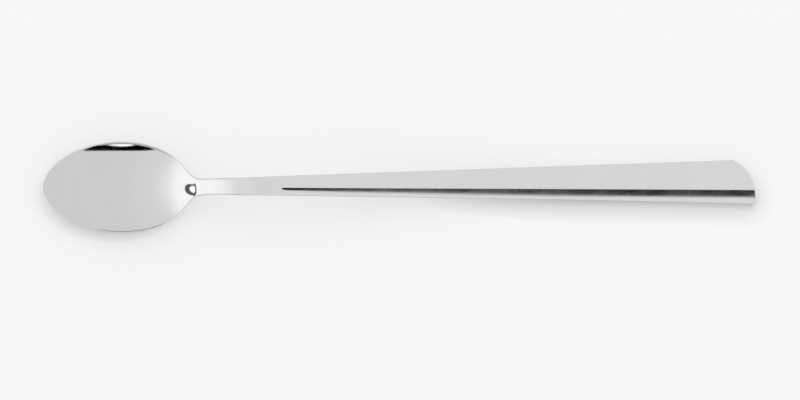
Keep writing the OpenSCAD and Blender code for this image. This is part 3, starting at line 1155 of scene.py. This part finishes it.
# Ovals in the tent's walls: their centre and half width across, their middle and half height up,
# and the softness of their edge
NEAR_DARK = (-0.03, 0.38, 0.11, 0.181, 0.08)
NEAR_LIGHT = (-0.095, 0.11, 0.09, 0.09, 0.2)
FAR_DARK = (0.0, 0.14, 0.14, 0.145, 0.15)
FAR_LIGHT = (-0.01, 0.085, 0.08, 0.075, 0.2)
# Level of each dark oval and strength of the light in it
NEAR_LEVEL = 0.0
NEAR_SHINE = 1.7
FAR_LEVEL = 0.1
FAR_SHINE = 1.6
# Directions between which a wall of the tent with an oval ends
OVAL_WALL = (-0.3, -0.2)
# The brighter wall beyond the bowl and the haze before it: where each starts, where it is full,
# and its strength
BOWL_WALL = (-0.5, -0.9, 0.43)
HAZE = (-0.1, -0.5, 0.07)


def tent_world(scene):
    """A white tent round the table, with two low openings and a brighter wall beyond the bowl."""
    studio = scene.spoon_studio
    scene.world = bpy.data.worlds.new("tent")
    tree = NodeTree(scene.world)
    place = tree.add("TexCoord", {}).outputs["Generated"]
    split = tree.add("SeparateXYZ", {"Vector": place}).outputs
    x, y, z = (split[axis] for axis in "XYZ")

    def square(value, middle, half):
        """Square of a value's distance from a middle, measured in halves."""
        distance = tree.math("DIVIDE", tree.math("SUBTRACT", value, middle), half)
        return tree.math("MULTIPLY", distance, distance)

    def oval(across, along, centre, half_w, middle, half_h, edge):
        """0 inside an oval low in one wall of the tent, and 1 outside it."""
        reach = tree.math("ADD", square(across, centre, half_w), square(z, middle, half_h))
        outside = tree.soft_step(reach, 1 - edge, 1 + edge)
        return tree.math("MAXIMUM", outside, tree.soft_step(along, *OVAL_WALL))

    def opening(across, along, dark, light, level, shine):
        """Shade of a dark oval, and the smaller bright one at its bottom."""
        wall = tree.blend(level, 1.0, oval(across, along, *dark))
        lamp = tree.math("SUBTRACT", 1.0, oval(across, along, *light))
        return wall, tree.math("MULTIPLY", lamp, shine)

    near, near_lamp = opening(x, y, NEAR_DARK, NEAR_LIGHT, NEAR_LEVEL, NEAR_SHINE)
    far, far_lamp = opening(y, x, FAR_DARK, FAR_LIGHT, FAR_LEVEL, FAR_SHINE)
    glow = tree.math("ADD", tree.soft_step(x, *BOWL_WALL), tree.soft_step(x, *HAZE))
    glow = tree.math("ADD", glow, 1.0)
    tent = tree.math("MULTIPLY", tree.math("MULTIPLY", near, far), glow)
    tent = tree.math("MAXIMUM", tree.math("MAXIMUM", tent, near_lamp), far_lamp)

    direct = tree.add("LightPath", {}).outputs["Is Camera Ray"]
    level = tree.blend(studio.fill, tent, tree.seen())
    level = tree.blend(level, studio.floor[0], direct)
    sky = tree.add("Background", {"Color": WHITE, "Strength": level})
    tree.add("OutputWorld", {"Surface": sky.outputs["Background"]})


# Tilt of the lamp's side, as seen from the floor, and samples for the painted shade close to the
# spoon
CONTACT_TILT = math.radians(80)
CONTACT_SAMPLES = 16
PAPER_ROUGHNESS = 0.9


def floor_material(studio):
    """Pale paper that keeps the spoon's shadow, with painted shade in its colour close to the
    spoon, away from the lamp.
    """
    material = bpy.data.materials.new("pale_paper")
    tree = NodeTree(material)
    lamp_side = tree.add(
        "CombineXYZ", {"Y": math.sin(CONTACT_TILT), "Z": math.cos(CONTACT_TILT)}
    )
    open_share = tree.add(
        "AmbientOcclusion",
        {"Normal": lamp_side.outputs["Vector"], "Distance": studio.contact_reach},
        samples=CONTACT_SAMPLES,
    )
    # Painted shade: the paper's colour darkens where the spoon is close
    painted_shade_tone = tree.add(
        "Mix",
        {
            "Factor": open_share.outputs["AO"],
            "A": (*(c * (1 - studio.contact) for c in studio.floor), 1),
            "B": (*studio.floor, 1),
        },
        data_type="RGBA",
    ).outputs["Result"]
    paper = tree.add(
        "BsdfPrincipled",
        {"Base Color": painted_shade_tone, "Roughness": PAPER_ROUGHNESS, "Specular IOR Level": 0.0},
    )
    plain = tree.add("Emission", {"Color": painted_shade_tone})
    lift = tree.math("MULTIPLY", tree.seen(), studio.floor_lift)
    blend = tree.add(
        "MixShader", {"Fac": lift, 1: paper.outputs["BSDF"], 2: plain.outputs["Emission"]}
    )
    tree.add("OutputMaterial", {"Surface": blend.outputs["Shader"]})
    return material


# The floor's side, and its distance below the spoon
FLOOR_SIZE = 12.0
FLOOR_GAP = 0.00002
# Distance, sides and tilt of the lamp behind the spoon's straight edge
KEY_DISTANCE = 2.4
KEY_SIZE = (2.6, 2.2)
KEY_TILT = math.radians(22)
# Width of the camera's sensor, the place that it looks at, and millimetres in a metre
SENSOR_W = 0.036
VIEW_X = 0.0002
VIEW_Y = -0.0034
VIEW_Z = 0.006
MILLIMETRES = 1000


class SPOON_OT_studio(bpy.types.Operator):
    """Set up the pale floor, the soft lamp, the tent and the camera"""

    bl_idname = "spoon.studio"
    bl_label = "Studio"

    def execute(self, context):
        scene = context.scene
        studio = scene.spoon_studio
        deselect_all()
        bpy.ops.mesh.primitive_plane_add(size=FLOOR_SIZE, location=(0, 0, -FLOOR_GAP))
        floor = context.object
        floor.name = "floor"
        floor.data.materials.append(floor_material(studio))

        bpy.ops.object.light_add(
            type="AREA",
            location=(0, KEY_DISTANCE * math.sin(KEY_TILT), KEY_DISTANCE * math.cos(KEY_TILT)),
            rotation=(-KEY_TILT, 0, 0),
        )
        key = context.object
        key.name = "key_lamp"
        key.data.shape = "RECTANGLE"
        key.data.size, key.data.size_y = KEY_SIZE
        key.data.energy = studio.key_power
        key.visible_glossy = False

        tent_world(scene)

        distance = studio.view_w * studio.camera_lens / MILLIMETRES / SENSOR_W
        bpy.ops.object.camera_add(location=(VIEW_X, VIEW_Y, VIEW_Z + distance))
        camera = context.object
        camera.name = "camera"
        camera.data.sensor_width = SENSOR_W * MILLIMETRES
        camera.data.lens = studio.camera_lens
        scene.camera = camera
        scene.view_settings.view_transform = "Standard"
        return {"FINISHED"}


class SPOON_PT_panel(bpy.types.Panel):
    """Sizes, finish and steps of the spoon"""

    bl_idname = "SPOON_PT_panel"
    bl_label = "Iced tea spoon"
    bl_space_type = "VIEW_3D"
    bl_region_type = "UI"
    bl_category = "Spoon"

    def draw(self, context):
        scene = context.scene
        for group in (scene.spoon_sizes, scene.spoon_steel, scene.spoon_studio):
            box = self.layout.box()
            for key in type(group).__annotations__:
                box.prop(group, key)
        for operator in OPERATORS:
            self.layout.operator(operator.bl_idname)


OPERATORS = (SPOON_OT_bowl, SPOON_OT_handle, SPOON_OT_studio)
CLASSES = (SpoonSizes, SteelFinish, StudioLight, *OPERATORS, SPOON_PT_panel)


def register():
    for cls in CLASSES:
        bpy.utils.register_class(cls)
    bpy.types.Scene.spoon_sizes = bpy.props.PointerProperty(type=SpoonSizes)
    bpy.types.Scene.spoon_steel = bpy.props.PointerProperty(type=SteelFinish)
    bpy.types.Scene.spoon_studio = bpy.props.PointerProperty(type=StudioLight)


def unregister():
    del bpy.types.Scene.spoon_sizes
    del bpy.types.Scene.spoon_steel
    del bpy.types.Scene.spoon_studio
    for cls in reversed(CLASSES):
        bpy.utils.unregister_class(cls)


def main():
    register()
    bpy.ops.spoon.bowl()
    bpy.ops.spoon.handle()
    bpy.ops.spoon.studio()


if __name__ == "__main__":
    main()
